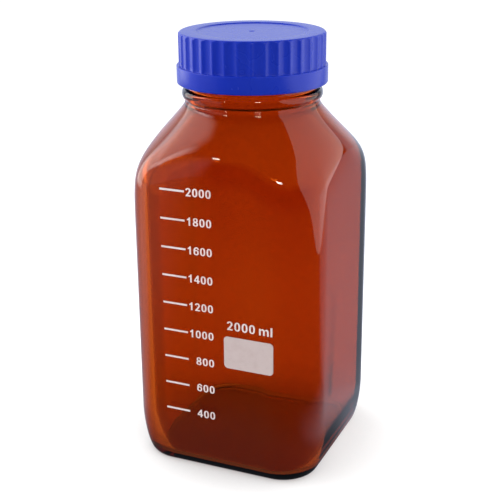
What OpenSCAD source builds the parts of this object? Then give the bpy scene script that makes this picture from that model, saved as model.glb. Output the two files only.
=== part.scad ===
// Square wide-mouth laboratory bottle with a screw cap, pouring ring and enamel scale.
// Frame: +Z up, origin at the centre of the underside, printed face towards -Y. Millimetres.

/* [Glass body] */

// Width of the square body across two flat faces
body_width = 119; // [80:0.5:150]
// Radius of the four upright corners, seen from above
corner_radius = 26.5; // [15:0.5:38]
// Thickness of the glass walls
wall_thickness = 4.1; // [3:0.1:6.5]
// Thickness of the glass under the contents
base_thickness = 3.3; // [3:0.1:8]
// Height of the underside's push-up at its middle
push_up = 1.8; // [0.5:0.1:4]
// How far the walls draw in at the very bottom
heel_inset = 6.3; // [3:0.1:9]
// Height over which the walls draw in
heel_height = 29; // [12:1:40]
// Height of the joint line between shoulder and neck
neck_base_height = 217; // [140:1:300]
// Slope of the shoulder, from the upright
shoulder_angle = 41; // [25:1:55]

/* [Neck] */

// Diameter over the crest of the neck's thread
thread_diameter = 80; // [60:0.5:90]
// Rise of the thread for one turn
thread_pitch = 5; // [4:0.5:6.5]
// Depth of the neck's thread
thread_depth = 1.5; // [1:0.1:2]
// Turns of thread on the neck and in the cap
thread_turns = 1.75; // [1:0.25:2.25]
// Thickness of the glass in the neck, under the thread
neck_wall = 4.5; // [3.5:0.1:6]
// Height of the neck above the shoulder
neck_height = 34.4; // [30:0.2:45]
// How far the collar bead stands out from the thread's crest
bead_projection = 1.2; // [0.6:0.1:2]

/* [Closure] */

// Wall between the cap's thread groove and the crest of its ribs
cap_wall = 2.2; // [1.8:0.1:4]
// Open gap between the collar bead and the rim of the closed cap
cap_gap = 2.7; // [1.5:0.1:6]
// Thickness of the cap's top
cap_top_thickness = 2.2; // [1.6:0.1:4]
// Number of grip flutes around the cap
flute_count = 36; // [24:1:48]
// Depth of a grip flute
flute_depth = 0.9; // [0.4:0.1:1.2]
// Height of the plain band around the bottom of the cap
band_height = 10.1; // [6:0.1:14]
// How far the band stands out from the ribs
band_step = 1.25; // [0.6:0.05:2]
// Thickness of the sealing disc
seal_thickness = 2; // [1:0.1:3]
// Thickness of the pouring ring over the lip
ring_thickness = 1.4; // [1:0.1:2]

/* [Enamel marks] */

// Height of the lowest graduation
first_line_height = 38.3; // [34:0.1:60]
// Length of a graduation line
line_length = 15.4; // [8:0.2:18]
// Thickness of a graduation line's stroke
line_stroke = 1.1; // [0.5:0.1:1.6]
// Height of the scale numerals
numeral_height = 4.8; // [3:0.1:6]
// Width of the marking field
field_width = 30.6; // [15:0.2:34]
// Height of the marking field
field_height = 20; // [10:0.2:30]

/* [Hidden] */

$fn = 96;

tiny = 0.05;
enamel = 0.1;              // how far the enamel stands off the glass
enamel_root = 0.4;         // how far it is fused in
corner_root = 0.8;         // and where the print runs onto the corner
half = body_width / 2;

thread_r = thread_diameter / 2;
neck_r = thread_r - thread_depth;
crease_r = thread_r - 0.4;
bead_r = thread_r + bead_projection;
mouth_r = neck_r - neck_wall;
neck_z = neck_base_height;
bead_z = neck_z + 4.8;
bead_top = bead_z + 3.5;
lip_z = neck_z + neck_height;
lip_r = neck_r - 1.3;
lip_height = 4;

// Thread: the cap's groove clears the crest, and its crest clears the neck.
groove_clearance = 0.5;
crest_clearance = 0.6;
groove_r = thread_r + groove_clearance;
cap_crest_r = neck_r + crest_clearance;

ring_z = lip_z + ring_thickness;
ring_r = min(neck_r - 0.5, cap_crest_r - 0.9);
seal_gap = 0.05;
seal_z = ring_z + seal_gap;
cap_ceiling = seal_z + seal_thickness + seal_gap;
cap_z1 = cap_ceiling + cap_top_thickness;
cap_z0 = bead_top + cap_gap;
cap_height = cap_z1 - cap_z0;
thread_z = cap_z0 + 2;   // where the neck's ridge starts; the cap's starts half a pitch higher
rib_r = groove_r + cap_wall;
band_r = rib_r + band_step;
band_z = cap_z0 + band_height;

// The scale: one division is the height that 200 ml takes up in the body.
inner_half = half - wall_thickness;
inner_corner = corner_radius;
inner_area = 4 * inner_half * inner_half - (4 - PI) * inner_corner * inner_corner;
division_ml = 200;
line_pitch = division_ml * 1000 / inner_area;
first_ml = 400;
// The wall is straight up to where the shoulder's cone would stand this much wider than it.
clear_of_shoulder = 1.38;
slope = tan(shoulder_angle);
curve = 0.006;             // how the shoulder steepens, per mm of depth
straight_depth = 2 + (sqrt(slope * slope + 4 * curve * (clear_of_shoulder * half - crease_r)) - slope)
                     / (2 * curve);
// as many divisions as the straight part of the wall has room for
line_count = 1 + floor((neck_z - straight_depth - first_line_height) / line_pitch);
// The block of marks spans the flat of the face, and the field runs just onto the corner.
flat_half = half - corner_radius;
lines_right = line_length + 1.2 - flat_half;
numerals_right = lines_right + 0.9 + 3.25 * numeral_height;
field_right = flat_half + 4.3;
field_left = max(field_right - field_width, numerals_right + 4);
field_z = 81.4;
capacity_z = field_z + field_height / 2 + 4.2;
capacity_height = 5.4;

// ---- body surface ----

// Distance from the axis to a rounded square at angle t.
function square_r(t, w, r) =
    let (a = abs((t + 45) % 90 - 45), c = w - r)
    tan(a) * w <= c ? w / cos(a)
        : c * (cos(a) + sin(a)) + sqrt(max(0, r * r - c * c * pow(cos(a) - sin(a), 2)));

// Radius of the round shoulder at a depth d below the neck.
function shoulder_r(d, top_r) =
    let (e = sqrt(d * d + 4) - 2) top_r + slope * e + curve * e * e;

// Rounded square and round shoulder, run together softly.
blend = 11;
function body_r(t, z, w, r, top_r) =
    let (a = square_r(t, w, r))
    z >= neck_z ? top_r
        : pow(pow(a, -blend) + pow(shoulder_r(neck_z - z, top_r), -blend), -1 / blend);

tangent = atan((half - corner_radius) / half);
octant = [0, 0.24, 0.5, 0.76, 1];
angles = [for (q = [0 : 3]) each [
    for (i = [0 : 3]) q * 90 + tangent * octant[i],
    for (i = [0 : 7]) q * 90 + tangent + (90 - 2 * tangent) * i / 8,
    for (i = [0 : 3]) q * 90 + 90 - tangent * octant[4 - i]]];
around = len(angles);

function ring_at(z, rs) = [for (i = [0 : around - 1]) [rs[i] * cos(angles[i]), rs[i] * sin(angles[i]), z]];

// One ring of the heel: inset and corner radius follow a soft quarter curve.
heel_power = 1.18;
function heel_inset_at(p, inset) = inset * (1 - pow(sin(p), heel_power));
function heel_rise_at(p, rise) = rise * (1 - pow(cos(p), heel_power));
heel_steps = [0, 9, 18, 28, 40, 55, 72, 90];

function inset_ring(z, w, r, inset) =
    ring_at(z, [for (t = angles) square_r(t, w - inset, max(r - inset, 6))]);

shoulder_steps = [52, 44, 38, 33, 29, 25.5, 22.5, 19.5, 16.5, 13.5, 11, 8.5, 6.5, 4.5, 3, 1.5, 0];

function body_ring(z, w, r, top_r) =
    ring_at(z, [for (t = angles) body_r(t, z, w, r, top_r)]);

bore_stock = 1;            // glass left inside the mouth, cut away with the bore
inner_top_r = mouth_r - bore_stock;
floor_z = base_thickness;
inner_heel_inset = heel_inset + 0.7;
inner_heel_height = heel_height - 2;

outer_rings = concat(
    [inset_ring(push_up * 0.9, half, corner_radius, 36),
     inset_ring(push_up * 0.6, half, corner_radius, 22),
     inset_ring(0, half, corner_radius, 12)],
    [for (p = heel_steps) inset_ring(heel_rise_at(p, heel_height), half, corner_radius,
                                     heel_inset_at(p, heel_inset))],
    [for (d = shoulder_steps) body_ring(neck_z - d, half, corner_radius, crease_r)]);
inner_rings = concat(
    [for (i = [len(shoulder_steps) - 1 : -1 : 0])
        body_ring(neck_z - shoulder_steps[i], inner_half, inner_corner, inner_top_r)],
    [for (i = [len(heel_steps) - 1 : -1 : 0])
        inset_ring(floor_z + heel_rise_at(heel_steps[i], inner_heel_height), inner_half, inner_corner,
                   heel_inset_at(heel_steps[i], inner_heel_inset))],
    [inset_ring(floor_z + push_up * 0.5, inner_half, inner_corner, 26)]);
rings = concat(outer_rings, inner_rings);

module glass_envelope() {
    last = len(rings) - 1;
    under = [0, 0, push_up];
    floor_point = [0, 0, floor_z + push_up];
    points = concat([for (g = rings) each g], [under, floor_point]);
    n = around;
    sides = [for (k = [0 : last - 1], i = [0 : n - 1])
        let (j = (i + 1) % n, a = k * n + i, b = k * n + j, c = a + n, d = b + n)
        each [[a, c, b], [b, c, d]]];
    bottom = [for (i = [0 : n - 1]) [len(points) - 2, i, (i + 1) % n]];
    inside = [for (i = [0 : n - 1]) [len(points) - 1, last * n + (i + 1) % n, last * n + i]];
    polyhedron(points, concat(sides, bottom, inside));
}

// ---- helical ridge: root and crest radius, half widths at root and crest ----
module ridge(root_r, crest_r, root_half, crest_half, z, turns, pitch) {
    steps = ceil(turns * 36);
    ramp = 6;
    count = steps + 1;
    points = [for (i = [0 : steps])
        let (t = i * 360 * turns / steps,
             rise = min(1, (i + 0.6) / ramp, (steps - i + 0.6) / ramp),
             c = root_r + (crest_r - root_r) * rise,
             h = z + pitch * t / 360,
             w = crest_half + (root_half - crest_half) * (1 - rise))
        each [[root_r * cos(t), root_r * sin(t), h - root_half],
              [c * cos(t), c * sin(t), h - w],
              [c * cos(t), c * sin(t), h + w],
              [root_r * cos(t), root_r * sin(t), h + root_half]]];
    outward = crest_r > root_r;
    quads = [for (i = [0 : steps - 1], k = [0 : 3])
        let (a = i * 4 + k, b = i * 4 + (k + 1) % 4)
        each [[a, a + 4, b], [b, a + 4, b + 4]]];
    ends = [[0, 1, 2], [0, 2, 3], [steps * 4, steps * 4 + 2, steps * 4 + 1],
            [steps * 4, steps * 4 + 3, steps * 4 + 2]];
    faces = concat(quads, ends);
    polyhedron(points, outward ? [for (f = faces) [f[0], f[2], f[1]]] : faces);
}

// ---- glass ----
module glass_bottle() color([0.55, 0.17, 0.02, 0.6]) {
    difference() {
        union() {
            glass_envelope();
            rotate_extrude()
                polygon(concat(
                    [[mouth_r - 0.5, neck_z - 2.5], [crease_r - 1.4, neck_z - 2.5],
                     [crease_r - 0.4, neck_z + 0.4], [crease_r - 0.6, neck_z + 1.2]],
                    [for (p = [-75 : 15 : 75])
                        [crease_r - 0.6 + (bead_r - crease_r + 0.6) * cos(p), bead_z + 3.2 * sin(p)]],
                    [[crease_r - 0.6, bead_top], [neck_r, bead_top + 1],
                     [neck_r, lip_z - lip_height - 1], [lip_r, lip_z - lip_height],
                     [lip_r, lip_z - 0.8], [lip_r - 0.25, lip_z - 0.25], [lip_r - 0.8, lip_z],
                     [mouth_r - 0.5, lip_z]]));
            ridge(neck_r - 0.7, thread_r, 1.6, 0.7, thread_z, thread_turns, thread_pitch);
        }
        translate([0, 0, neck_z - 9]) cylinder(r = mouth_r, h = lip_z - neck_z + 10);
        // the inner edge of the lip is eased
        translate([0, 0, lip_z - 0.8]) cylinder(r1 = mouth_r, r2 = mouth_r + 0.9, h = 0.9);
    }
}

// ---- pouring ring: clips over the lip ----
module pouring_ring() color([0.05, 0.13, 0.62]) {
    skirt = lip_height - 0.4;
    rotate_extrude()
        polygon([[mouth_r - 1.1, lip_z - skirt], [mouth_r - 0.15, lip_z - skirt],
                 [mouth_r - 0.15, lip_z - 0.75], [mouth_r + 0.6, lip_z], [lip_r - 0.5, lip_z],
                 [lip_r + 0.12, lip_z - 0.35], [lip_r + 0.12, lip_z - skirt],
                 [ring_r, lip_z - skirt], [ring_r, ring_z - 0.5], [ring_r - 0.5, ring_z],
                 [mouth_r - 0.4, ring_z], [mouth_r - 1.1, ring_z - 0.7]]);
}

// ---- sealing disc: lies in the top of the cap ----
module sealing_disc() color([0.86, 0.84, 0.80]) {
    translate([0, 0, seal_z]) cylinder(r = groove_r - 0.6, h = seal_thickness);
}

// ---- screw cap ----
module screw_cap() color([0.07, 0.16, 0.66]) {
    edge = 1.8;
    flute_half = 0.47 * 2 * rib_r * sin(180 / flute_count);
    flute_r = (flute_half * flute_half + flute_depth * flute_depth) / (2 * flute_depth);
    recess_r = rib_r * 0.75;
    difference() {
        rotate_extrude()
            polygon(concat(
                // lead-in at the open end, then the plain band
                [[groove_r, cap_z0 + 1.6], [groove_r + 0.9, cap_z0], [band_r - 0.5, cap_z0],
                 [band_r, cap_z0 + 0.5], [band_r, band_z - 0.4], [band_r - 0.4, band_z],
                 [rib_r, band_z]],
                [for (p = [0 : 15 : 90])
                    [rib_r - edge + edge * cos(p), cap_z1 - edge + edge * sin(p)]],
                // recessed disc with a moulding gate mark
                [[recess_r + 0.8, cap_z1], [recess_r, cap_z1 - 0.6], [1.6, cap_z1 - 0.6],
                 [1.2, cap_z1 - 0.9], [0, cap_z1 - 0.9], [0, cap_ceiling], [groove_r, cap_ceiling]]));
        for (k = [0 : flute_count - 1]) rotate([0, 0, (k + 0.5) * 360 / flute_count])
            translate([rib_r - flute_depth + flute_r, 0, band_z + 0.3])
                cylinder(r = flute_r, h = cap_height);
    }
    ridge(groove_r + 0.6, cap_crest_r, 1.5, 0.6, thread_z + thread_pitch / 2,
          thread_turns, thread_pitch);
}

// ---- enamel marks, fused into the face at -Y ----
module on_face(x, z, root = enamel_root) {
    translate([x, -half + root, z]) rotate([90, 0, 0])
        linear_extrude(height = root + enamel) children();
}

module graduation_lines() color([0.9, 0.88, 0.87]) {
    for (k = [0 : line_count - 1])
        on_face(lines_right - line_length, first_line_height + k * line_pitch - line_stroke / 2)
            square([line_length, line_stroke]);
}

// Glyphs are drawn one unit high, on a narrow body that wide() opens out.
function wide(points) = [for (p = points) [p[0] * 1.25, p[1]]];
function arc(x, y, a, b, from, to, n) = [for (i = [0 : n])
    let (t = from + (to - from) * i / n) [x + a * cos(t), y + b * sin(t)]];
function oval(x, y, a, b, n = 24, p = 2.5) = [for (i = [0 : n - 1])
    let (t = 360 * i / n, c = cos(t), s = sin(t))
    [x + a * sign(c) * pow(abs(c), 2 / p), y + b * sign(s) * pow(abs(s), 2 / p)]];

module loop(x, y, a, b, stroke_x, stroke_y) {
    outer = oval(x, y, a, b);
    inner = oval(x, y, a - stroke_x, b - stroke_y);
    polygon(wide(concat(outer, inner)),
            [[for (i = [0 : len(outer) - 1]) i], [for (i = [0 : len(inner) - 1]) len(outer) + i]]);
}

module glyph(c) {
    if (c == "0") loop(0.31, 0.5, 0.27, 0.5, 0.16, 0.135);
    if (c == "1") polygon(wide([[0.44, 0], [0.44, 1], [0.31, 1], [0.26, 0.88], [0.12, 0.77],
                                [0.12, 0.62], [0.28, 0.70], [0.28, 0]]));
    if (c == "2") polygon(wide(concat(
        [[0.04, 0], [0.56, 0], [0.56, 0.16], [0.27, 0.16], [0.36, 0.27]],
        arc(0.29, 0.70, 0.27, 0.30, -50, 170, 12),
        arc(0.29, 0.70, 0.11, 0.16, 170, -35, 8),
        [[0.21, 0.33], [0.08, 0.15]])));
    if (c == "3") for (h = [[0.28, 0.28, 0.28, -155, 85], [0.74, 0.25, 0.26, -85, 155]])
        polygon(wide(concat(arc(0.28, h[0], h[1], h[2], h[3], h[4], 14),
                            arc(0.28, h[0], h[1] - 0.15, h[2] - 0.13, h[4], h[3], 10))));
    if (c == "4") polygon(wide([[0.34, 0], [0.50, 0], [0.50, 0.21], [0.60, 0.21], [0.60, 0.36],
                                [0.50, 0.36], [0.50, 1], [0.36, 1], [0.02, 0.37], [0.02, 0.21],
                                [0.34, 0.21], [0.34, 0.36], [0.16, 0.36], [0.34, 0.70]]),
                          [[0, 1, 2, 3, 4, 5, 6, 7, 8, 9, 10], [11, 12, 13]]);
    if (c == "6") {
        loop(0.31, 0.32, 0.27, 0.32, 0.15, 0.13);
        polygon(wide(concat(arc(0.34, 0.55, 0.30, 0.45, 25, 200, 12),
                            arc(0.34, 0.50, 0.14, 0.37, 200, 30, 10))));
    }
    if (c == "8") {
        loop(0.31, 0.27, 0.27, 0.27, 0.15, 0.125);
        loop(0.31, 0.745, 0.24, 0.255, 0.14, 0.115);
    }
    if (c == "m") {
        square([0.19, 0.74]);
        for (x = [0, 0.455])
            translate([x, 0]) polygon(concat(
                [[0.455, 0], [0.645, 0]], arc(0.41, 0.52, 0.235, 0.23, 0, 180, 10),
                arc(0.325, 0.47, 0.13, 0.12, 180, 0, 8)));
    }
    if (c == "l") square([0.19, 1]);
}

function advance(c) = c == "m" ? 1.3 : c == "l" ? 0.34 : c == " " ? 0.34 : 0.85;
// Where each glyph of a word starts: the sum of the advances before it.
function starts(word, i = 0, x = 0) =
    i == len(word) ? [x] : concat([x], starts(word, i + 1, x + advance(word[i])));

module word_right(word, right, z, height, root = enamel_root) {
    at = starts(word);
    last = word[len(word) - 1];
    slack = last == "l" ? 0.15 : 0.13;
    for (i = [0 : len(word) - 1])
        if (word[i] != " ")
            on_face(right + (at[i] - at[len(word)] + slack) * height, z, root)
                scale(height) glyph(word[i]);
}

module graduation_numbers() color([0.9, 0.88, 0.87]) {
    for (k = [0 : line_count - 1])
        word_right(str(first_ml + k * division_ml), numerals_right,
                   first_line_height + k * line_pitch - numeral_height / 2 - 0.2, numeral_height);
}

module capacity_mark() color([0.9, 0.88, 0.87]) {
    word_right(str(first_ml + (line_count - 1) * division_ml, " ml"), field_right - 0.5,
               capacity_z, capacity_height, corner_root);
}

module marking_field() color([0.9, 0.88, 0.87]) {
    r = 2.4;
    width = field_right - field_left;
    on_face(field_left, field_z - field_height / 2, corner_root) {
        translate([r, 0]) square([width - 2 * r, field_height]);
        translate([0, r]) square([width, field_height - 2 * r]);
        for (x = [r, width - r], y = [r, field_height - r])
            translate([x, y]) circle(r = r);
    }
}

glass_bottle();
pouring_ring();
sealing_disc();
screw_cap();
graduation_lines();
graduation_numbers();
capacity_mark();
marking_field();
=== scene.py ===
"""Looks of a square amber glass laboratory bottle with a blue screw cap.

Everything is in metres in the part's own frame: +Z up, printed face towards -Y, origin at the
centre of the underside. Sizes inside the classes are in millimetres, as a glassmaker's drawing.
"""

import logging
import math
from dataclasses import dataclass, field
from enum import Enum
from typing import Sequence

import bpy
import numpy as np
from mathutils import Matrix, Quaternion, Vector


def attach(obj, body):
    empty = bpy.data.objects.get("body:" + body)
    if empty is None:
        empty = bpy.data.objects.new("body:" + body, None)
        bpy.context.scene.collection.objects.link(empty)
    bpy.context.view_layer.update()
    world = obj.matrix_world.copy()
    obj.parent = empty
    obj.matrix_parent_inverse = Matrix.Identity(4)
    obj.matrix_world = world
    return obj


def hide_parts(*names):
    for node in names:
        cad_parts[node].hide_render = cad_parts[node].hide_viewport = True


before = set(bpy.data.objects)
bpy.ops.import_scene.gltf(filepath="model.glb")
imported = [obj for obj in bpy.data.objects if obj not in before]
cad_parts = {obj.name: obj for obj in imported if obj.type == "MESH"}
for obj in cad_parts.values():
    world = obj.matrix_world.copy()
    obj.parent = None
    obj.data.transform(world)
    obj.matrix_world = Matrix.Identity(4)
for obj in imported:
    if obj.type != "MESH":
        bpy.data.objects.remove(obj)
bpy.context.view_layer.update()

MM = 0.001
LOG = logging.getLogger("bottle")

Colour = tuple[float, float, float]
Row = tuple[np.ndarray, np.ndarray]


# ---------------------------------------------------------------- shader maths


class Value:
    """A shader number that Python arithmetic turns into Math nodes."""

    def __init__(self, tree: bpy.types.NodeTree, socket: bpy.types.NodeSocket) -> None:
        """Wraps one output socket.

        Args:
            tree: The node tree that the socket is in.
            socket: An output socket that carries a number.
        """
        self.tree = tree
        self.socket = socket

    def _math(self, operation: str, first: "Value | float", second: "Value | float") -> "Value":
        """Adds one Math node.

        Args:
            operation: The node's operation, such as "ADD".
            first: Its first number.
            second: Its second number.

        Returns:
            The node's result.
        """
        node = self.tree.nodes.new("ShaderNodeMath")
        node.operation = operation
        for index, given in enumerate((first, second)):
            if isinstance(given, Value):
                self.tree.links.new(given.socket, node.inputs[index])
            else:
                node.inputs[index].default_value = given
        return Value(self.tree, node.outputs[0])

    def __add__(self, other: "Value | float") -> "Value":
        """Sum."""
        return self._math("ADD", self, other)

    def __radd__(self, other: float) -> "Value":
        """Sum, with a plain number first."""
        return self._math("ADD", other, self)

    def __sub__(self, other: "Value | float") -> "Value":
        """Difference."""
        return self._math("SUBTRACT", self, other)

    def __rsub__(self, other: float) -> "Value":
        """Difference, with a plain number first."""
        return self._math("SUBTRACT", other, self)

    def __mul__(self, other: "Value | float") -> "Value":
        """Product."""
        return self._math("MULTIPLY", self, other)

    def __rmul__(self, other: float) -> "Value":
        """Product, with a plain number first."""
        return self._math("MULTIPLY", other, self)

    def __truediv__(self, other: "Value | float") -> "Value":
        """Quotient."""
        return self._math("DIVIDE", self, other)

    def __pow__(self, other: "Value | float") -> "Value":
        """Power."""
        return self._math("POWER", self, other)

    def at_least(self, other: "Value | float") -> "Value":
        """The larger of the two."""
        return self._math("MAXIMUM", self, other)


class Shader:
    """A node tree being written, for a material, a lamp or the world."""

    def __init__(self, tree: bpy.types.NodeTree) -> None:
        """Empties the tree.

        Args:
            tree: The tree to write in.
        """
        self.tree = tree
        tree.nodes.clear()

    def node(self, kind: str, settings: dict | None = None, **inputs: object) -> bpy.types.Node:
        """Adds any node but a Math node.

        Args:
            kind: The node's type after "ShaderNode".
            settings: Its own settings, set before its sockets.
            **inputs: Socket values or links. A name is the socket's, with _ for a space, or iN
                for the socket of index N.

        Returns:
            The node.
        """
        made = self.tree.nodes.new("ShaderNode" + kind)
        for key, value in (settings or {}).items():
            setattr(made, key, value)
        for key, value in inputs.items():
            index = int(key[1:]) if key[0] == "i" and key[1:].isdigit() else key.replace("_", " ")
            self._feed(made.inputs[index], value)
        return made

    def _feed(self, socket: bpy.types.NodeSocket, value: object) -> None:
        """Links or sets one input.

        Args:
            socket: The input.
            value: A Value, a socket, a node whose first output is meant, or plain numbers.
        """
        if isinstance(value, Value):
            value = value.socket
        elif isinstance(value, bpy.types.Node):
            value = value.outputs[0]
        if isinstance(value, bpy.types.NodeSocket):
            self.tree.links.new(value, socket)
        elif isinstance(value, tuple) and socket.type == "RGBA" and len(value) == 3:
            socket.default_value = (*value, 1.0)
        else:
            socket.default_value = value

    def value(self, node: bpy.types.Node, output: str | int = 0) -> Value:
        """One output of a node, ready for arithmetic."""
        return Value(self.tree, node.outputs[output])

    def place(self) -> bpy.types.NodeSocket:
        """The point on the object in its own space, in metres."""
        return self.node("TexCoord").outputs["Object"]

    def parts(self, vector: bpy.types.NodeSocket) -> tuple[Value, Value, Value]:
        """The three numbers of a vector."""
        split = self.node("SeparateXYZ", i0=vector)
        return self.value(split, 0), self.value(split, 1), self.value(split, 2)

    def noise(self, scale: float, detail: float = 3.0, rough: float = 0.55,
              stretch: Colour = (1.0, 1.0, 1.0), offset: float = 0.0) -> Value:
        """Fractal noise over the object's own space.

        Args:
            scale: Blobs to a metre.
            detail: Octaves.
            rough: How much the finer octaves count.
            stretch: Scale along each axis.
            offset: Moves the pattern, so that two of them differ.

        Returns:
            The noise, about 0 to 1.
        """
        spot = self.node("Mapping", i0=self.place(), Location=(offset, offset * 0.7, offset * 1.3),
                         Scale=stretch)
        return self.value(self.node("TexNoise", i0=spot, Scale=scale, Detail=detail,
                                    Roughness=rough))

    def spread(self, value: Value, low: float, high: float, to_low: float = 0.0,
               to_high: float = 1.0, smooth: bool = True) -> Value:
        """Maps a range of a number onto another, clamped.

        Args:
            value: The number.
            low: Where the range starts.
            high: Where it ends.
            to_low: Result at low.
            to_high: Result at high.
            smooth: Eased rather than straight.

        Returns:
            The mapped number.
        """
        kind = "SMOOTHSTEP" if smooth else "LINEAR"
        return self.value(self.node("MapRange", {"interpolation_type": kind}, i0=value, i1=low,
                                    i2=high, i3=to_low, i4=to_high))

    def mix(self, factor: Value | float, first: object, second: object) -> bpy.types.NodeSocket:
        """Mixes two colours.

        Args:
            factor: Share of the second.
            first: Colour at nought.
            second: Colour at one.

        Returns:
            The mixed colour.
        """
        return self.node("Mix", {"data_type": "RGBA"}, i0=factor, i6=first, i7=second).outputs[2]

    def bump(self, height: Value, distance: float) -> bpy.types.NodeSocket:
        """A bumped normal, from a height of about 0 to 1 and what one is in metres."""
        return self.node("Bump", Height=height, Distance=distance, Strength=1.0).outputs[0]

    def bearing(self, x: Value, y: Value, degrees: float) -> Value:
        """Cosine of the angle between a level direction and a bearing.

        Args:
            x: The direction's first part.
            y: Its second part.
            degrees: The bearing, from +X towards +Y.

        Returns:
            The cosine, 1 along the bearing and -1 away from it.
        """
        flat = ((x * x + y * y) ** 0.5).at_least(0.001)
        turn = math.radians(degrees)
        return (x * math.cos(turn) + y * math.sin(turn)) / flat

    def within(self, cosine: Value, start: float, end: float) -> Value:
        """Share of one, falling to nought between two angles.

        Args:
            cosine: Cosine of the angle.
            start: Where it starts to fall, in degrees.
            end: Where it reaches nought, in degrees.

        Returns:
            The share.
        """
        return self.spread(cosine, math.cos(math.radians(end)), math.cos(math.radians(start)))

    def sight(self) -> tuple[Value, Value, Value]:
        """How the ray came here.

        Returns:
            One for a ray from the eye or through glass, one for a ray off a glossy surface, and
            one for a reflection that is not seen through glass; each is nought otherwise.
        """
        path = self.node("LightPath")
        direct = self.value(path, "Is Camera Ray").at_least(self.value(path, "Is Transmission Ray"))
        glossy = self.value(path, "Is Glossy Ray")
        return direct, glossy, glossy * (1.0 - direct)


# -------------------------------------------------------------------- finishes

MADE: dict[str, bpy.types.Material] = {}


@dataclass(frozen=True)
class Finish:
    """A material with a name, whose look a subclass writes."""

    name: str

    def write(self, shader: Shader) -> None:
        """Writes the nodes of the material."""
        raise NotImplementedError

    def material(self) -> bpy.types.Material:
        """Makes the material at its first use.

        Returns:
            The material.
        """
        if self.name not in MADE:
            made = MADE[self.name] = bpy.data.materials.new(self.name)
            made.use_nodes = True
            self.write(Shader(made.node_tree))
        return MADE[self.name]

    def dress(self, piece: bpy.types.Object) -> None:
        """Gives a piece this finish and no other.

        Args:
            piece: The piece.
        """
        piece.data.materials.clear()
        piece.data.materials.append(self.material())
        for polygon in piece.data.polygons:
            polygon.material_index = 0


@dataclass(frozen=True)
class AmberGlass(Finish):
    """Amber borosilicate glass, coloured in its skin and a little through its depth."""

    tint: Colour = (0.565, 0.195, 0.022)
    clouded: Colour = (0.565, 0.18525, 0.0198)
    deep: Colour = (0.70, 0.15, 0.04)
    # tint of the painted dark reflection under the shoulder
    painted_reflection_tint: Colour = (0.47, 0.105, 0.01)
    corner: Colour = (0.36, 0.112, 0.015)
    streak_tint: Colour = (0.10, 0.05, 0.012)
    density: float = 90.0
    ior: float = 1.473
    patch_left: float = 0.1925
    patch_right: float = 0.1815
    streak_foot: float = 0.047
    streak_head: float = 0.107

    def painted_reflection_share(self, shader: Shader) -> Value:
        """Painted dark reflection in the tint, a patch under the front edge of the shoulder.

        Args:
            shader: The material's tree.

        Returns:
            Share of the painted dark reflection, 0 to 1.
        """
        x, y, z = shader.parts(shader.place())
        below = z - shader.spread(x, 0.014, 0.044, self.patch_left, self.patch_right)
        side = shader.spread(x, -0.020, 0.004) * shader.spread(x, 0.058, 0.050)
        front = shader.spread(y, -0.03, -0.045)
        fade = shader.spread(z, 0.118, 0.176)
        lens = shader.spread(below, -0.017, -0.008)
        return shader.spread(below, 0.0006, -0.0012) * side * front * (fade * 0.55 + lens * 0.4)

    def darker_corner_share(self, shader: Shader) -> Value:
        """Where the tint is darker, along the upright front corner on the left.

        Args:
            shader: The material's tree.

        Returns:
            Share of the darker tint, 0 to 1.
        """
        x, y, _ = shader.parts(shader.place())
        return shader.spread(x, -0.0465, -0.0535) * shader.spread(y, -0.018, -0.036)

    def dark_streak_share(self, shader: Shader) -> Value:
        """A darker streak low on the right wall, faint above and dark at its foot.

        Args:
            shader: The material's tree.

        Returns:
            Share of the streak's colour, 0 to 1.
        """
        x, y, z = shader.parts(shader.place())
        middle = shader.spread(z, self.streak_foot, self.streak_head, -0.024, -0.020)
        off = ((y - middle) ** 2.0) ** 0.5
        trail = shader.spread(off, 0.009, 0.0) * shader.spread(z, 0.125, 0.095) * 0.36
        foot = shader.spread(off, 0.0055, 0.0005) * shader.spread(z, 0.078, 0.055) * 0.62
        return (trail + foot) * shader.spread(z, 0.043, 0.050) * shader.spread(x, 0.056, 0.058)

    def write(self, shader: Shader) -> None:
        """Writes a clear tinted body with faint streaks in the stain and in the skin, a painted dark
        reflection under the front of the shoulder, a darker left front corner and a dark streak low on
        the right wall.

        Args:
            shader: The material's tree.
        """
        cloud = shader.spread(shader.noise(14.0, 2.0, 0.5, (1.0, 1.0, 0.35)), 0.3, 0.7)
        tint = shader.mix(cloud, self.tint, self.clouded)
        # painted dark reflection: a darker tint under the front edge of the shoulder
        tint = shader.mix(self.painted_reflection_share(shader), tint, self.painted_reflection_tint)
        # darker tint along the left front corner
        tint = shader.mix(self.darker_corner_share(shader), tint, self.corner)
        # darker streak low on the right wall, darkest at its foot
        tint = shader.mix(self.dark_streak_share(shader), tint, self.streak_tint)
        skin = shader.noise(34.0, 2.0, 0.5, (1.0, 1.0, 0.3), 3.1)
        body = shader.node(
            "BsdfPrincipled", Base_Color=tint, Roughness=0.0, IOR=self.ior,
            Transmission_Weight=1.0, Normal=shader.bump(skin, 0.00003))
        depth = shader.node("VolumeAbsorption", Color=self.deep, Density=self.density)
        shader.node("OutputMaterial", Surface=body, Volume=depth)


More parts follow.
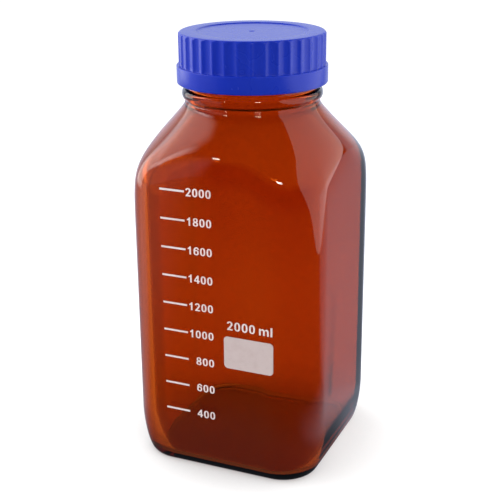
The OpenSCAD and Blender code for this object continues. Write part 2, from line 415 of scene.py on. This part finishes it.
@dataclass(frozen=True)
class MouldedPlastic(Finish):
    """Satin moulded polypropylene, with moulding grain and light rubbing."""

    base: Colour = (0.0035, 0.023, 0.42)
    pale: Colour = (0.012, 0.05, 0.55)
    gloss: float = 0.26

    def write(self, shader: Shader) -> None:
        """Writes the blue, its flow marks, fine grain and scuffs.

        Args:
            shader: The material's tree.
        """
        flow = shader.spread(shader.noise(26.0, 3.0, 0.6, offset=1.7), 0.35, 0.7)
        grain = shader.noise(1900.0, 2.0, 0.5, offset=4.0)
        swell = shader.noise(150.0, 2.0, 0.5, offset=2.2)
        rub = shader.spread(shader.noise(420.0, 5.0, 0.7, (1.0, 1.0, 0.25), 9.0), 0.62, 0.8)
        colour = shader.mix(flow * 0.2 + rub * 0.2, self.base, self.pale)
        rough = self.gloss + flow * 0.02 + rub * 0.08
        skin = shader.bump(grain * 0.35 + swell * 0.4, 0.00006)
        body = shader.node(
            "BsdfPrincipled", Base_Color=colour, Roughness=rough, IOR=1.44, Normal=skin)
        shader.node("OutputMaterial", Surface=body)


@dataclass(frozen=True)
class SealPlastic(Finish):
    """Off-white seal, matt and a little mottled."""

    base: Colour = (0.70, 0.66, 0.58)
    mottled: Colour = (0.616, 0.5808, 0.5104)

    def write(self, shader: Shader) -> None:
        """Writes the off-white and its fine mottle.

        Args:
            shader: The material's tree.
        """
        mottle = shader.noise(500.0, 4.0, 0.6)
        colour = shader.mix(shader.spread(mottle, 0.35, 0.7), self.base, self.mottled)
        body = shader.node("BsdfPrincipled", Base_Color=colour, Roughness=0.5 + mottle * 0.2,
                           Normal=shader.bump(mottle, 0.00005))
        shader.node("OutputMaterial", Surface=body)


@dataclass(frozen=True)
class FiredEnamel(Finish):
    """Fired white screen print, with the amber just showing through its thin spots."""

    base: Colour = (0.84, 0.76, 0.76)
    thin: Colour = (0.70, 0.56, 0.54)
    cover: float = 0.75

    def write(self, shader: Shader) -> None:
        """Writes the white, its screen grain and its uneven cover.

        Args:
            shader: The material's tree.
        """
        screen = shader.noise(2600.0, 2.0, 0.6, offset=5.0)
        patch = shader.noise(160.0, 4.0, 0.65, offset=8.0)
        thin = shader.spread(screen * 0.5 + patch * 0.7, self.cover - 0.2, self.cover + 0.05)
        colour = shader.mix(thin, self.base, self.thin)
        body = shader.node("BsdfPrincipled", Base_Color=colour, Roughness=0.32 + screen * 0.25,
                           IOR=1.5, Normal=shader.bump(screen + patch * 0.5, 0.00002))
        shader.node("OutputMaterial", Surface=body)


GLASS = AmberGlass("stained_glass")
CAP_BLUE = MouldedPlastic("cap_plastic")
RING_BLUE = MouldedPlastic("ring_plastic", gloss=0.3)
SEAL_WHITE = SealPlastic("seal_plastic")
PRINT_WHITE = FiredEnamel("print_enamel")
FIELD_WHITE = FiredEnamel("field_enamel", base=(0.64, 0.53, 0.52), thin=(0.58, 0.46, 0.45))


class Slot(Enum):
    """Material slots of the record."""

    GLASS = "amber_glass"
    BLUE = "blue_plastic"
    SEAL = "seal"
    ENAMEL = "white_enamel"


# ------------------------------------------------------------------ mesh tools


def skin_mesh(name: str, rows: Sequence[Row], angles: np.ndarray, first: float, last: float,
              ) -> bpy.types.Object:
    """Builds a closed smooth skin from rows of points round the axis.

    Args:
        name: The piece's name.
        rows: For each row, the radius and the height at each angle, in millimetres.
        angles: The angles of the columns, in radians.
        first: Height of the centre point that closes the first row.
        last: Height of the centre point that closes the last row.

    Returns:
        The mesh object, in metres.
    """
    count = len(angles)
    cos, sin = np.cos(angles), np.sin(angles)
    points = [np.column_stack((r * cos, r * sin, np.broadcast_to(z, r.shape))) for r, z in rows]
    points.append(np.array([[0.0, 0.0, first], [0.0, 0.0, last]]))
    vertices = np.concatenate(points) * MM
    here = np.arange(count)
    after = (here + 1) % count
    starts = np.arange(len(rows) - 1)[:, None] * count
    quads = np.stack((starts + here, starts + after, starts + count + after,
                      starts + count + here), axis=-1).reshape(-1, 4)
    top = (len(rows) - 1) * count
    low_fan = np.column_stack((np.full(count, len(rows) * count), after, here))
    high_fan = np.column_stack((np.full(count, len(rows) * count + 1), top + here, top + after))
    mesh = bpy.data.meshes.new(name)
    mesh.from_pydata(vertices.tolist(), [], quads.tolist() + low_fan.tolist() + high_fan.tolist())
    mesh.shade_smooth()
    mesh.update()
    piece = bpy.data.objects.new(name, mesh)
    bpy.context.scene.collection.objects.link(piece)
    return piece


def ease(x: np.ndarray | float) -> np.ndarray:
    """Smooth step from 0 to 1."""
    t = np.clip(x, 0.0, 1.0)
    return t * t * (3.0 - 2.0 * t)


def soft_least(a: np.ndarray, b: np.ndarray, width: float) -> np.ndarray:
    """The smaller of two heights, rounded where they meet.

    Args:
        a: First height.
        b: Second height.
        width: Size of the rounding.

    Returns:
        The rounded smaller height.
    """
    h = np.clip(0.5 + 0.5 * (b - a) / width, 0.0, 1.0)
    return b * (1.0 - h) + a * h - width * h * (1.0 - h)


@dataclass(frozen=True)
class ScrewThread:
    """A rounded helical ridge, as a height over a round wall."""

    start: float
    pitch: float
    turns: float
    crest_half: float
    root_half: float
    ramp: float = math.radians(60.0)

    def rise(self, angles: np.ndarray, height: np.ndarray | float) -> np.ndarray:
        """Share of the full ridge height.

        Args:
            angles: Angles round the axis, in radians.
            height: Height up the neck, in millimetres.

        Returns:
            0 on the wall and 1 on the crest, at each angle.
        """
        total = 2.0 * math.pi * self.turns
        out = np.zeros_like(angles)
        for turn in range(math.ceil(self.turns) + 1):
            run = angles + 2.0 * math.pi * turn
            end = ease(np.minimum(run, total - run) / self.ramp)
            off = np.abs(height - self.start - self.pitch * run / (2.0 * math.pi))
            ridge = ease((self.root_half - off) / (self.root_half - self.crest_half))
            out = np.maximum(out, np.where((run >= 0) & (run <= total), end * ridge, 0.0))
        return out


# -------------------------------------------------------------- sub-assemblies


@dataclass
class GlassBottle:
    """The square blown glass body with its round shoulder, bead, threaded neck and lip."""

    half: float = 59.5
    corner: float = 26.5
    wall: float = 4.1
    base: float = 3.3
    push_up: float = 1.8
    heel_inset: float = 6.3
    heel_height: float = 29.0
    inner_corner: float = 26.5
    inner_heel_inset: float = 7.0
    inner_heel_height: float = 27.0
    neck_z: float = 217.0
    slope: float = math.radians(41.0)
    neck_r: float = 38.5
    thread_r: float = 40.0
    crease_r: float = 39.6
    bead_r: float = 41.2
    bore_r: float = 34.0
    lip_z: float = 251.4
    lip_r: float = 37.2
    thread: ScrewThread = ScrewThread(230.0, 5.0, 1.75, 0.55, 1.45)
    flat_columns: int = 18
    corner_columns: int = 36
    angles: np.ndarray = field(init=False)

    def __post_init__(self) -> None:
        """Lays out the columns, closer together round the corners than on the flats."""
        edge = math.atan((self.half - self.corner) / self.half)
        flat = np.linspace(0.0, edge, self.flat_columns, endpoint=False)
        turn = np.linspace(edge, math.pi / 2 - edge, self.corner_columns, endpoint=False)
        back = math.pi / 2 - flat[::-1]
        quarter = np.concatenate((flat, turn, np.array([math.pi / 2 - edge]), back[:-1]))
        self.angles = np.concatenate([quarter + k * math.pi / 2 for k in range(4)])

    def square(self, width: float, radius: float) -> np.ndarray:
        """A rounded square's distance from the axis at each column.

        Args:
            width: Half its width.
            radius: Its corner radius.

        Returns:
            The distance at each angle.
        """
        radius = min(radius, width)
        a = np.abs((self.angles + math.pi / 4) % (math.pi / 2) - math.pi / 4)
        c = width - radius
        flat = width / np.cos(a)
        under = np.maximum(radius**2 - (c * (np.cos(a) - np.sin(a)))**2, 0.0)
        return np.where(np.tan(a) * width <= c + 1e-9, flat,
                        c * (np.cos(a) + np.sin(a)) + np.sqrt(under))

    def shoulder(self, depth: float, top: float) -> float:
        """The round shoulder's radius below the neck.

        Args:
            depth: Depth below the neck.
            top: Radius at the neck.

        Returns:
            The radius.
        """
        e = math.sqrt(depth * depth + 4.0) - 2.0
        return top + math.tan(self.slope) * e + 0.006 * e * e

    def body_row(self, z: float, width: float, radius: float, top: float) -> Row:
        """One row of the body, square below and round above.

        Args:
            z: Its height.
            width: Half the square's width.
            radius: The square's corner radius.
            top: Radius of the shoulder at the neck.

        Returns:
            The row.
        """
        round_r = self.shoulder(self.neck_z - z, top)
        r = (self.square(width, radius)**-11.0 + round_r**-11.0)**(-1.0 / 11.0)
        return r, np.full_like(r, z)

    def inset_row(self, z: float, width: float, radius: float, inset: float) -> Row:
        """One row of the heel or the underside.

        Args:
            z: Its height.
            width: Half the body's width.
            radius: The body's corner radius.
            inset: How far the row is drawn in.

        Returns:
            The row.
        """
        r = self.square(width - inset, max(radius - inset, 6.0))
        return r, np.full_like(r, z)

    def heel_rows(self, width: float, radius: float, inset: float, rise: float, floor: float,
                  ) -> list[Row]:
        """The soft turn from the base into the wall, upwards.

        Args:
            width: Half the body's width on this surface.
            radius: Its corner radius.
            inset: How far it draws in at the bottom.
            rise: Its height.
            floor: Where it starts.

        Returns:
            The rows.
        """
        rows = []
        for p in np.linspace(0.0, math.pi / 2, 22):
            z = floor + rise * (1.0 - math.cos(p)**1.18)
            rows.append(self.inset_row(z, width, radius, inset * (1.0 - math.sin(p)**1.18)))
        return rows

    def wall_rows(self, width: float, radius: float, top: float, low: float) -> list[Row]:
        """The wall and the shoulder, upwards.

        Args:
            width: Half the body's width on this surface.
            radius: Its corner radius.
            top: Radius of the shoulder at the neck.
            low: Height where the heel ends.

        Returns:
            The rows.
        """
        depths = np.concatenate((np.linspace(self.neck_z - low, 75.0, 20)[1:],
                                 np.linspace(75.0, 12.0, 66)[1:], np.linspace(12.0, 0.0, 22)[1:]))
        return [self.body_row(self.neck_z - d, width, radius, top) for d in depths]

    def neck_rows(self) -> list[Row]:
        """Crease, bead, threaded neck and lip, upwards and over to the bore.

        Returns:
            The rows.
        """
        root = self.crease_r - 0.6
        bead_z = self.neck_z + 4.8
        line = [(self.crease_r - 0.25, self.neck_z + 0.35), (root + 0.02, self.neck_z + 0.8),
                (root, self.neck_z + 1.2)]
        for p in np.radians(np.linspace(-72.0, 78.0, 26)):
            line.append((root + (self.bead_r - root) * math.cos(p), bead_z + 3.2 * math.sin(p)))
        line += [(self.neck_r + 0.15, bead_z + 3.6), (self.neck_r, bead_z + 4.3)]
        rows = [self.round_row(r, z) for r, z in line]
        for z in np.arange(bead_z + 4.7, self.lip_z - 5.0, 0.3):
            rise = self.thread.rise(self.angles, z)
            rows.append((self.neck_r + (self.thread_r - self.neck_r) * rise,
                         np.full_like(rise, z)))
        lip = [(self.neck_r, self.lip_z - 5.0), (self.lip_r, self.lip_z - 4.0),
               (self.lip_r, self.lip_z - 0.8), (self.lip_r - 0.1, self.lip_z - 0.45),
               (self.lip_r - 0.35, self.lip_z - 0.15), (self.lip_r - 0.8, self.lip_z),
               (self.bore_r + 0.9, self.lip_z), (self.bore_r + 0.3, self.lip_z - 0.25),
               (self.bore_r, self.lip_z - 0.8)]
        rows += [self.round_row(r, z) for r, z in lip]
        return rows

    def round_row(self, radius: float, z: float) -> Row:
        """A plain round row."""
        return np.full_like(self.angles, radius), np.full_like(self.angles, z)

    def build(self) -> bpy.types.Object:
        """Builds the outside and the inside as one closed skin.

        Returns:
            The glass.
        """
        inner_half, inner_corner = self.half - self.wall, self.inner_corner
        rows = [self.inset_row(self.push_up * s, self.half, self.corner, i)
                for s, i in ((0.99, 55.0), (0.96, 46.0), (0.9, 36.0), (0.77, 29.0), (0.6, 22.0),
                             (0.3, 16.5), (0.08, 13.4), (0.0, 12.0))]
        rows += self.heel_rows(self.half, self.corner, self.heel_inset, self.heel_height, 0.0)
        rows += self.wall_rows(self.half, self.corner, self.crease_r, self.heel_height)
        rows += self.neck_rows()
        for z in np.linspace(self.lip_z - 4.0, self.neck_z + 1.0, 6):
            rows.append(self.round_row(self.bore_r, z))
        inner_low = self.base + self.inner_heel_height
        inside = self.wall_rows(inner_half, inner_corner, self.bore_r - 1.0, inner_low)
        for r, z in reversed(inside):
            rows.append((np.maximum(r, self.bore_r), z))
        heel = self.heel_rows(inner_half, inner_corner, self.inner_heel_inset,
                              self.inner_heel_height, self.base)
        rows += list(reversed(heel))
        rows += [self.inset_row(self.base + self.push_up * s, inner_half, inner_corner, i)
                 for s, i in ((0.1, 12.0), (0.3, 18.0), (0.5, 26.0), (0.85, 40.0), (0.98, 50.0))]
        return skin_mesh("bottle_glass", rows, self.angles, self.push_up,
                         self.base + self.push_up)

    def dress(self) -> bpy.types.Object:
        """Builds the bottle, puts it on its body and gives it its glass.

        Returns:
            The glass.
        """
        piece = self.build()
        GLASS.dress(piece)
        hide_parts("glass_bottle")
        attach(piece, "bottle")
        return piece


@dataclass
class ScrewCap:
    """The fluted screw cap with its plain band, recessed top and inner thread."""

    bottom: float = 228.0
    top: float = 257.1
    ceiling: float = 254.9
    rib_r: float = 42.7
    band_r: float = 43.95
    band_z: float = 238.1
    groove_r: float = 40.5
    crest_r: float = 39.1
    flutes: int = 36
    flute_depth: float = 0.9
    edge: float = 1.8
    recess_r: float = 32.0
    columns_per_flute: int = 24
    flute_phase: float = math.radians(2.5)
    thread: ScrewThread = ScrewThread(232.5, 5.0, 1.75, 0.5, 1.4)

    def fluted(self, radius: float, angles: np.ndarray) -> np.ndarray:
        """The wall's radius with the flutes cut into it.

        Args:
            radius: Radius of the wall before the flutes.
            angles: Angles of the columns.

        Returns:
            The cut radius at each angle.
        """
        step = 2.0 * math.pi / self.flutes
        reach = 0.94 * self.rib_r * math.sin(math.pi / self.flutes)
        cut = (reach**2 + self.flute_depth**2) / (2.0 * self.flute_depth)
        centre = self.rib_r - self.flute_depth + cut
        off = np.abs((angles - self.flute_phase) % step - step / 2.0)
        under = np.maximum(cut**2 - (centre * np.sin(off))**2, 0.0)
        floor = centre * np.cos(off) - np.sqrt(under)
        return soft_least(np.full_like(angles, radius), floor, 0.10)

    def outer_rows(self, angles: np.ndarray) -> list[Row]:
        """The outside, from the open rim up to the middle of the top.

        Args:
            angles: Angles of the columns.

        Returns:
            The rows.
        """
        rows: list[Row] = []

        def plain(r: float, z: float) -> None:
            """Adds one round row."""
            rows.append((np.full_like(angles, r), np.full_like(angles, z)))

        for p in np.radians(np.linspace(0.0, 90.0, 6)):
            plain(self.band_r - 0.5 + 0.5 * math.sin(p), self.bottom + 0.5 - 0.5 * math.cos(p))
        plain(self.band_r, self.bottom + 4.0)
        for p in np.radians(np.linspace(0.0, 90.0, 7)):
            plain(self.band_r - 0.45 + 0.45 * math.cos(p), self.band_z - 0.45 + 0.45 * math.sin(p))
        plain(self.rib_r + 0.3, self.band_z)
        for share, lift in ((0.55, 0.02), (0.85, 0.15), (1.0, 0.4)):
            cut = self.fluted(self.rib_r, angles)
            rows.append((self.rib_r + 0.15 - (self.rib_r + 0.15 - cut) * share,
                         np.full_like(angles, self.band_z + lift)))
        for z in np.linspace(self.band_z + 2.0, self.top - self.edge, 7):
            rows.append((self.fluted(self.rib_r, angles), np.full_like(angles, z)))
        for p in np.radians(np.linspace(6.0, 90.0, 15)):
            wall = self.rib_r - self.edge + self.edge * math.cos(p)
            rows.append((self.fluted(wall, angles),
                         np.full_like(angles, self.top - self.edge + self.edge * math.sin(p))))
        for r, z in ((self.recess_r + 4.0, 0.0), (self.recess_r + 1.1, 0.0),
                     (self.recess_r + 0.8, -0.06), (self.recess_r + 0.2, -0.5),
                     (self.recess_r - 0.2, -0.6), (self.recess_r - 4.0, -0.6), (20.0, -0.62),
                     (8.0, -0.62), (2.3, -0.6), (1.7, -0.62), (1.4, -0.8), (1.0, -0.9),
                     (0.5, -0.9)):
            plain(r, self.top + z)
        return rows

    def inner_rows(self, angles: np.ndarray) -> list[Row]:
        """The inside, from the middle of the ceiling down to the open rim.

        Args:
            angles: Angles of the columns.

        Returns:
            The rows.
        """
        rows: list[Row] = [(np.full_like(angles, r), np.full_like(angles, self.ceiling))
                           for r in (10.0, 30.0, self.groove_r - 0.4)]
        rows.append((np.full_like(angles, self.groove_r), np.full_like(angles, self.ceiling - 0.4)))
        for z in np.arange(self.ceiling - 1.0, self.bottom + 1.7, -0.35):
            rise = self.thread.rise(angles, z)
            rows.append((self.groove_r - (self.groove_r - self.crest_r) * rise,
                         np.full_like(angles, z)))
        for r, z in ((self.groove_r, 1.6), (self.groove_r + 0.8, 0.15), (self.groove_r + 1.0, 0.0),
                     (self.band_r - 0.8, 0.0)):
            rows.append((np.full_like(angles, r), np.full_like(angles, self.bottom + z)))
        return rows

    def dress(self) -> bpy.types.Object:
        """Builds the cap, puts it on its body and gives it its plastic.

        Returns:
            The cap.
        """
        count = self.flutes * self.columns_per_flute
        angles = np.arange(count) * 2.0 * math.pi / count
        rows = self.inner_rows(angles) + self.outer_rows(angles)
        piece = skin_mesh("cap_shell", rows, angles, self.ceiling, self.top - 0.9)
        CAP_BLUE.dress(piece)
        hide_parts("screw_cap")
        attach(piece, "cap")
        return piece


@dataclass
class Closure:
    """The pouring ring on the lip and the sealing disc in the cap, which stay as CAD made them."""

    finishes: dict[str, Finish] = field(default_factory=lambda: {
        "pouring_ring": RING_BLUE, "sealing_disc": SEAL_WHITE})

    def dress(self) -> list[bpy.types.Object]:
        """Gives each CAD piece its finish."""
        return dress_nodes(self.finishes)


@dataclass
class EnamelMarks:
    """The fired scale, numerals, capacity and writing field on the front."""

    finishes: dict[str, Finish] = field(default_factory=lambda: {
        "graduation_lines": PRINT_WHITE, "graduation_numbers": PRINT_WHITE,
        "capacity_mark": PRINT_WHITE, "marking_field": FIELD_WHITE})

    def dress(self) -> list[bpy.types.Object]:
        """Gives each CAD piece its finish."""
        return dress_nodes(self.finishes)


def dress_nodes(finishes: dict[str, Finish]) -> list[bpy.types.Object]:
    """Dresses CAD pieces that keep their own shape.

    Args:
        finishes: The finish of each node.

    Returns:
        The pieces.
    """
    pieces = []
    for name, finish in finishes.items():
        finish.dress(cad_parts[name])
        pieces.append(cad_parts[name])
    return pieces


# ---------------------------------------------------------------------- studio


class LampShape(Enum):
    """Outlines of a lamp."""

    RECTANGLE = "RECTANGLE"
    ELLIPSE = "ELLIPSE"


@dataclass(frozen=True)
class SoftBox:
    """A flat lamp aimed at the bottle, with soft edges if it is asked for them."""

    name: str
    azimuth: float
    elevation: float
    distance: float
    width: float
    height: float
    radiance: float
    shape: LampShape = LampShape.RECTANGLE
    mirrored: bool = True
    roll: float = 0.0
    soft: float = 0.0

    def area(self) -> float:
        """The lamp's area in square metres."""
        filled = math.pi / 4.0 if self.shape is LampShape.ELLIPSE else 1.0
        return self.width * self.height * filled

    def soften(self, shader: Shader) -> None:
        """Lets the lamp fade out towards its edges.

        Args:
            shader: The lamp's tree.
        """
        u, v, _ = shader.parts(shader.node("NewGeometry").outputs["Parametric"])
        share = shader.spread(u, 0.0, self.soft) * shader.spread(v, 0.0, self.soft)
        share = share * shader.spread(u, 1.0, 1.0 - self.soft)
        share = share * shader.spread(v, 1.0, 1.0 - self.soft)
        shader.node("OutputLight", Surface=shader.node("Emission", Strength=share))

    def place(self, target: Vector) -> bpy.types.Object:
        """Puts the lamp up.

        Args:
            target: What it is aimed at.

        Returns:
            The lamp.
        """
        data = bpy.data.lights.new(self.name, "AREA")
        data.shape = self.shape.value
        data.size, data.size_y = self.width, self.height
        data.energy = self.radiance * math.pi * self.area()
        if self.soft:
            data.use_nodes = True
            self.soften(Shader(data.node_tree))
        lamp = bpy.data.objects.new(self.name, data)
        a, e = math.radians(self.azimuth), math.radians(self.elevation)
        away = Vector((math.cos(a) * math.cos(e), math.sin(a) * math.cos(e), math.sin(e)))
        spin = Quaternion((0.0, 0.0, 1.0), math.radians(self.roll))
        lamp.location = target + away * self.distance
        lamp.rotation_mode = "QUATERNION"
        lamp.rotation_quaternion = away.to_track_quat("Z", "Y") @ spin
        lamp.visible_glossy = self.mirrored
        bpy.context.scene.collection.objects.link(lamp)
        return lamp


@dataclass(frozen=True)
class WallPatch:
    """A lit patch of the room that only reflections see, with soft edges."""

    bearing: float
    full: float
    reach: float
    top: float
    soft: float
    strength: float
    bottom: float = -60.0

    def share(self, shader: Shader, x: Value, y: Value, z: Value) -> Value:
        """How bright the patch is along a ray.

        Args:
            shader: The world's tree.
            x: First part of the ray's direction.
            y: Second part.
            z: Third part.

        Returns:
            The patch's strength there.
        """
        low, low_full, high_full, high = (
            math.sin(math.radians(e)) for e in (
                self.bottom - self.soft, self.bottom + self.soft, self.top - self.soft,
                self.top + self.soft))
        aside = shader.within(shader.bearing(x, y, self.bearing), self.full, self.reach)
        return aside * self.strength * (
            shader.spread(z, low, low_full) * shader.spread(z, high, high_full))


@dataclass(frozen=True)
class Room:
    """The world: white to the eye and through glass, a dark room with lit walls to reflections."""

    cool: Colour
    ambient: float = 0.80
    dark: float = 0.01
    walls: tuple[WallPatch, ...] = (
        WallPatch(113.41, 43.0, 47.0, 34.0, 4.0, 0.44),
        WallPatch(113.41, 26.0, 41.0, 34.0, 4.0, 0.55),
        WallPatch(212.0, 27.0, 33.0, 30.0, 12.0, 0.42))

    def build(self) -> None:
        """Writes the world."""
        world = bpy.data.worlds.new("studio")
        bpy.context.scene.world = world
        world.use_nodes = True
        shader = Shader(world.node_tree)
        x, y, z = shader.parts(shader.node("TexCoord").outputs["Generated"])
        seen = self.dark
        for wall in self.walls:
            seen = seen + wall.share(shader, x, y, z)
        direct, glossy, mirrored = shader.sight()
        strength = direct + (1.0 - direct) * (glossy * seen + (1.0 - glossy) * self.ambient)
        tone = shader.mix(mirrored, (1.0, 1.0, 1.0), self.cool)
        shader.node("OutputWorld", Surface=shader.node("Background", Color=tone, Strength=strength))


@dataclass(frozen=True)
class Floor:
    """The pale floor: white to the eye but for the bottle's shade, real on its paint and painted into
    its glow; to reflections, near black with painted lit patches.
    """

    cool: Colour
    turn: float
    half: float = 4.0
    cells: int = 8
    white: float = 0.74
    grey: float = 0.48
    black: float = 0.005
    # how far the painted shadow reaches from the bottle
    shade_reach: float = 0.06
    room: float = 0.012
    behind: float = 0.40
    rear: float = 0.55
    beside: float = 0.50
    near: float = 0.08
    left: float = 0.22
    left_bearing: float = 212.0

    def mesh(self) -> bpy.types.Mesh:
        """Lays out the floor's grid.

        Returns:
            The mesh.
        """
        row = self.cells + 1
        steps = np.linspace(-self.half, self.half, row)
        points = [(x, y, 0.0) for y in steps for x in steps]
        corners = [r * row + c for r in range(self.cells) for c in range(self.cells)]
        mesh = bpy.data.meshes.new("floor")
        mesh.from_pydata(points, [], [(k, k + 1, k + row + 1, k + row) for k in corners])
        return mesh

    def reflected(self, shader: Shader, x: Value, y: Value) -> Value:
        """How bright the floor is to a reflection: painted light behind the bottle, beside it on the
        right and off to the left, and a painted shadow in front of it towards the camera.

        Args:
            shader: The floor's tree.
            x: The point's first coordinate.
            y: Its second.

        Returns:
            The painted brightness.
        """
        ahead = x * math.sin(self.turn) - y * math.cos(self.turn)
        across = x * math.cos(self.turn) + y * math.sin(self.turn)
        away = (x * x + y * y) ** 0.5
        rear_cosine = ahead / away.at_least(0.001)
        rear = shader.spread(rear_cosine, -math.cos(math.radians(48.0)), -math.cos(math.radians(25.0)))
        # painted light behind the bottle only, leaving a painted shadow in front of it
        behind = shader.spread(ahead, 0.03, -0.03) * (self.behind + rear * self.rear)
        near = shader.spread(away, 0.17, 0.10)
        beside = near * shader.spread(across, 0.055, 0.10)
        left = shader.within(shader.bearing(x, y, self.left_bearing), 27.0, 33.0)
        left = left * shader.spread(away, 0.12, 0.50)
        return (self.room + behind.at_least(beside * self.beside) + near * self.near
                + left * self.left)

    def write(self, shader: Shader) -> None:
        """Writes the floor's paint and its glow, with a painted shadow round the bottle and painted
        light and shade for reflections.

        Args:
            shader: The floor's tree.
        """
        x, y, _ = shader.parts(shader.place())
        direct, _, mirrored = shader.sight()
        # painted shadow: ambient occlusion dims the glow round the bottle, to the eye and through
        # glass
        open_sky = shader.value(
            shader.node("AmbientOcclusion", {"samples": 8}, Distance=self.shade_reach), "AO")
        across = x * math.cos(self.turn) + y * math.sin(self.turn)
        # painted light: the painted shadow is lifted, more under the bottle's right side
        painted_shadow_lift = shader.spread(across, 0.0, 0.06, 0.29, 0.62)
        seen = direct * open_sky.at_least(painted_shadow_lift) * self.white
        # painted light and shade that reflections see on the floor
        seen = seen + mirrored * self.reflected(shader, x, y)
        tone = shader.mix(mirrored, (1.0, 1.0, 1.0), self.cool)
        glow = shader.node("Emission", Color=tone, Strength=seen)
        paint = shader.node("BsdfDiffuse", Color=(self.grey,) * 3)
        # to reflections the paint is near black, so only the painted glow shows
        dark = shader.node("BsdfDiffuse", Color=(self.black,) * 3)
        ground = shader.node("MixShader", i0=mirrored, i1=paint, i2=dark)
        shader.node("OutputMaterial", Surface=shader.node("AddShader", i0=ground, i1=glow))

    def build(self) -> bpy.types.Object:
        """Lays the floor.

        Returns:
            The floor.
        """
        floor = bpy.data.objects.new("floor", self.mesh())
        bpy.context.scene.collection.objects.link(floor)
        material = bpy.data.materials.new("floor_white")
        material.use_nodes = True
        self.write(Shader(material.node_tree))
        floor.data.materials.append(material)
        return floor


@dataclass(frozen=True)
class Viewpoint:
    """The camera, a little above the bottle and to its right. Angles are in degrees."""

    azimuth: float = 23.4126
    distance: float = 0.631487
    height: float = 0.348766
    turn: float = 0.2031
    pitch: float = -19.6518
    roll: float = -0.4759
    sensor: float = 36.0
    lens: float = 78.5575728

    def build(self) -> bpy.types.Object:
        """Sets the camera up.

        Returns:
            The camera.
        """
        azimuth, pitch, roll = (math.radians(v) for v in (self.azimuth, self.pitch, self.roll))
        turn = azimuth + math.radians(self.turn)
        ahead = Vector((-math.sin(turn) * math.cos(pitch), math.cos(turn) * math.cos(pitch),
                        math.sin(pitch)))
        level = Vector((math.cos(turn), math.sin(turn), 0.0))
        over = level.cross(ahead)
        right = level * math.cos(roll) + over * math.sin(roll)
        up = over * math.cos(roll) - level * math.sin(roll)
        data = bpy.data.cameras.new("camera")
        data.sensor_width, data.lens = self.sensor, self.lens
        data.clip_start, data.clip_end = 0.01, 50.0
        camera = bpy.data.objects.new("camera", data)
        basis = Matrix((right, up, -ahead)).transposed().to_4x4()
        basis.translation = Vector((self.distance * math.sin(azimuth),
                                    -self.distance * math.cos(azimuth), self.height))
        camera.matrix_world = basis
        bpy.context.scene.collection.objects.link(camera)
        bpy.context.scene.camera = camera
        return camera


@dataclass
class Studio:
    """White sweep behind, dark room in front, soft boxes, two small sparks, floor and camera."""

    turn: float = math.radians(23.41)
    cool: Colour = (0.82, 0.90, 1.12)
    target: tuple[float, float, float] = (0.0, 0.0, 0.15)
    boxes: tuple[SoftBox, ...] = (
        SoftBox("left_top", 175.5, 45.0, 1.0, 1.05, 0.74, 1.7, soft=0.24),
        SoftBox("left_low", 170.0, 12.0, 1.0, 0.60, 0.80, 2.1, soft=0.18),
        SoftBox("left_bar", 196.0, 32.5, 0.94, 0.80, 0.20, 2.6, roll=41.8, soft=0.35),
        SoftBox("left_fill", 208.0, 12.0, 0.8, 0.60, 0.80, 2.4, mirrored=False),
        SoftBox("right_box", 20.0, 21.0, 0.35, 0.59, 0.59, 1.15, LampShape.ELLIPSE),
        SoftBox("spark_left", 244.05, 35.5, 0.966, 0.075, 0.035, 25.0),
        SoftBox("spark_right", 303.3, 41.85, 0.973, 0.13, 0.08, 25.0))

    def set_up(self) -> None:
        """Sets up the whole studio."""
        bpy.context.scene.view_settings.view_transform = "Standard"
        Room(self.cool).build()
        Floor(self.cool, self.turn).build()
        for box in self.boxes:
            box.place(Vector(self.target))
        Viewpoint().build()


def main() -> None:
    """Builds every part of the bottle, then the studio, and logs the faces of each piece."""
    logging.basicConfig(level=logging.INFO, format="%(name)s: %(message)s")
    for label, part in (("glass", GlassBottle()), ("cap", ScrewCap()), ("closure", Closure()),
                        ("marks", EnamelMarks())):
        made = part.dress()
        pieces = made if isinstance(made, list) else [made]
        LOG.info("%s: %s", label, ", ".join(
            f"{p.name} ({len(p.data.polygons)} faces)" for p in pieces))
    Studio().set_up()


if __name__ == "__main__":
    main()
